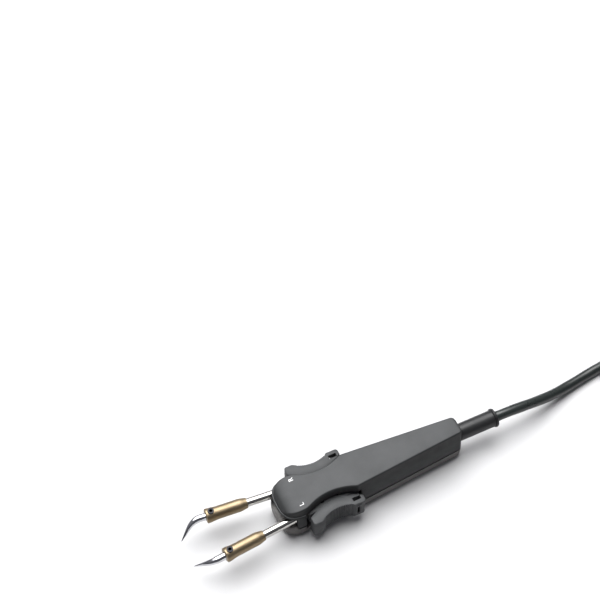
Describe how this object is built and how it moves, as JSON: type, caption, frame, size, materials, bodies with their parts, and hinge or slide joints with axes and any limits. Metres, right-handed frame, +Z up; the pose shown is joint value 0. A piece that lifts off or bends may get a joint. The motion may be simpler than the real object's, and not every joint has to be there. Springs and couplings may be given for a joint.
{
  "type": "soldering tweezers",
  "caption": "Electric soldering tweezers: two sprung, heated arms with bent tips pivot in a flat moulded handle and close when their ribbed grips are pressed; cable with plug.",
  "frame": {"origin": "on the surface the tool lies on, under the middle of the housing", "axes": "+X along the housing from the tips towards the cable, +Y towards the arm marked right, +Z up, away from the surface"},
  "size_m": [0.4246, 0.06, 0.029],
  "materials": {
    "upper_shell": "fine moulded grain",
    "lower_shell": "fine moulded grain",
    "grip": "smooth satin moulding",
    "screw_steel": "zinc plated",
    "black_steel": "blackened",
    "pin_steel": "ground",
    "tube_steel": "polished",
    "barrel_metal": "satin champagne plating",
    "tip_chrome": "polished",
    "ceramic": "ceramic, matte",
    "lead_sleeve": "woven glass sleeve",
    "board": "satin",
    "terminal_brass": "plated",
    "core_rubber": "smooth",
    "clamp_plastic": "matte",
    "sleeve_rubber": "satin",
    "cable_rubber": "satin, slightly glossy",
    "tie_plastic": "matte",
    "plug_plastic": "fine grain",
    "plug_metal": "nickel plated"
  },
  "bodies": {
    "housing": {"upper_shell": "upper_shell", "lower_shell": "lower_shell", "shell_screws": "screw_steel", "left_pivot_pin": "pin_steel", "right_pivot_pin": "pin_steel", "left_spring": "pin_steel", "right_spring": "pin_steel", "terminal_board": "board", "terminal_pins": "terminal_brass", "cable_cores": "core_rubber", "cable_clamp": "clamp_plastic", "clamp_screws": "screw_steel", "cable_inner": "cable_rubber", "sleeve": "sleeve_rubber", "cable": "cable_rubber", "cable_hank": "cable_rubber", "hank_tie": "tie_plastic", "cable_tail": "cable_rubber", "plug_boot": "sleeve_rubber", "plug_body": "plug_plastic", "plug_skirt": "plug_metal", "plug_contacts": "terminal_brass"},
    "left_arm": {"left_grip": "grip", "left_tube": "tube_steel", "left_tube_screw": "black_steel", "left_barrel": "barrel_metal", "left_heater": "ceramic", "left_tip": "tip_chrome", "left_tip_screw": "black_steel", "left_lead": "lead_sleeve"},
    "right_arm": {"right_grip": "grip", "right_tube": "tube_steel", "right_tube_screw": "black_steel", "right_barrel": "barrel_metal", "right_heater": "ceramic", "right_tip": "tip_chrome", "right_tip_screw": "black_steel", "right_lead": "lead_sleeve"}
  },
  "joints": [
    {"name": "left_arm_pivot", "type": "hinge", "parent": "housing", "child": "left_arm", "pos_m": [-0.0153, -0.0066, 0.016], "axis": [0, 0, -1], "range_deg": [0, 4.7], "stiffness_Nm_per_rad": 0.4, "springref_deg": -3.44},
    {"name": "right_arm_pivot", "type": "hinge", "parent": "housing", "child": "right_arm", "pos_m": [-0.0153, 0.0066, 0.016], "axis": [0, 0, 1], "range_deg": [0, 4.7], "stiffness_Nm_per_rad": 0.4, "springref_deg": -3.44}
  ]
}
